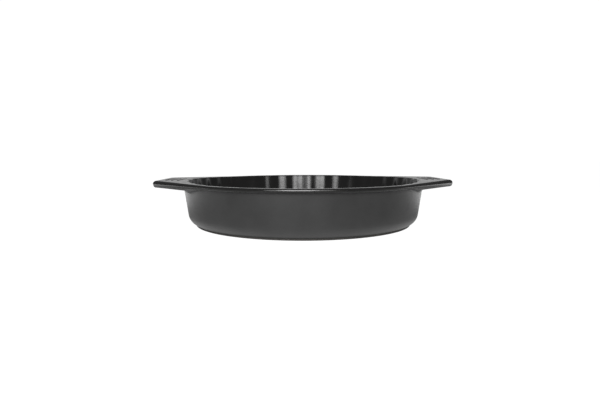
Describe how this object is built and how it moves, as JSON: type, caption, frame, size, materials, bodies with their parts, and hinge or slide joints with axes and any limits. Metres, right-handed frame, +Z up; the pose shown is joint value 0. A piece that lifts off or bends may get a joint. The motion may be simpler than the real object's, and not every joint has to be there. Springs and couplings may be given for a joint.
{
  "type": "ceramic baking dish",
  "caption": "Round shallow baking dish of glazed stoneware, with a fluted inner wall, a thin overhanging lip, a bare foot ring and a wide flat lug on either side.",
  "frame": {"origin": "middle of the foot ring, on the plane that it stands on", "axes": "+X through the middle of one lug, +Y across the dish in the plane of the rim, +Z up along the dish's axis"},
  "size_m": [0.332, 0.28, 0.0512],
  "materials": {
    "stoneware": "bare fired clay, matt",
    "gloss_glaze_inside": "glossy black glaze",
    "gloss_glaze_rim": "glossy black glaze",
    "satin_glaze_outside": "satin charcoal glaze",
    "satin_glaze_base": "satin charcoal glaze"
  },
  "bodies": {
    "root": {"stoneware_body": "stoneware", "interior_glaze": "gloss_glaze_inside", "rim_glaze": "gloss_glaze_rim", "exterior_glaze": "satin_glaze_outside", "base_glaze": "satin_glaze_base"}
  },
  "joints": []
}
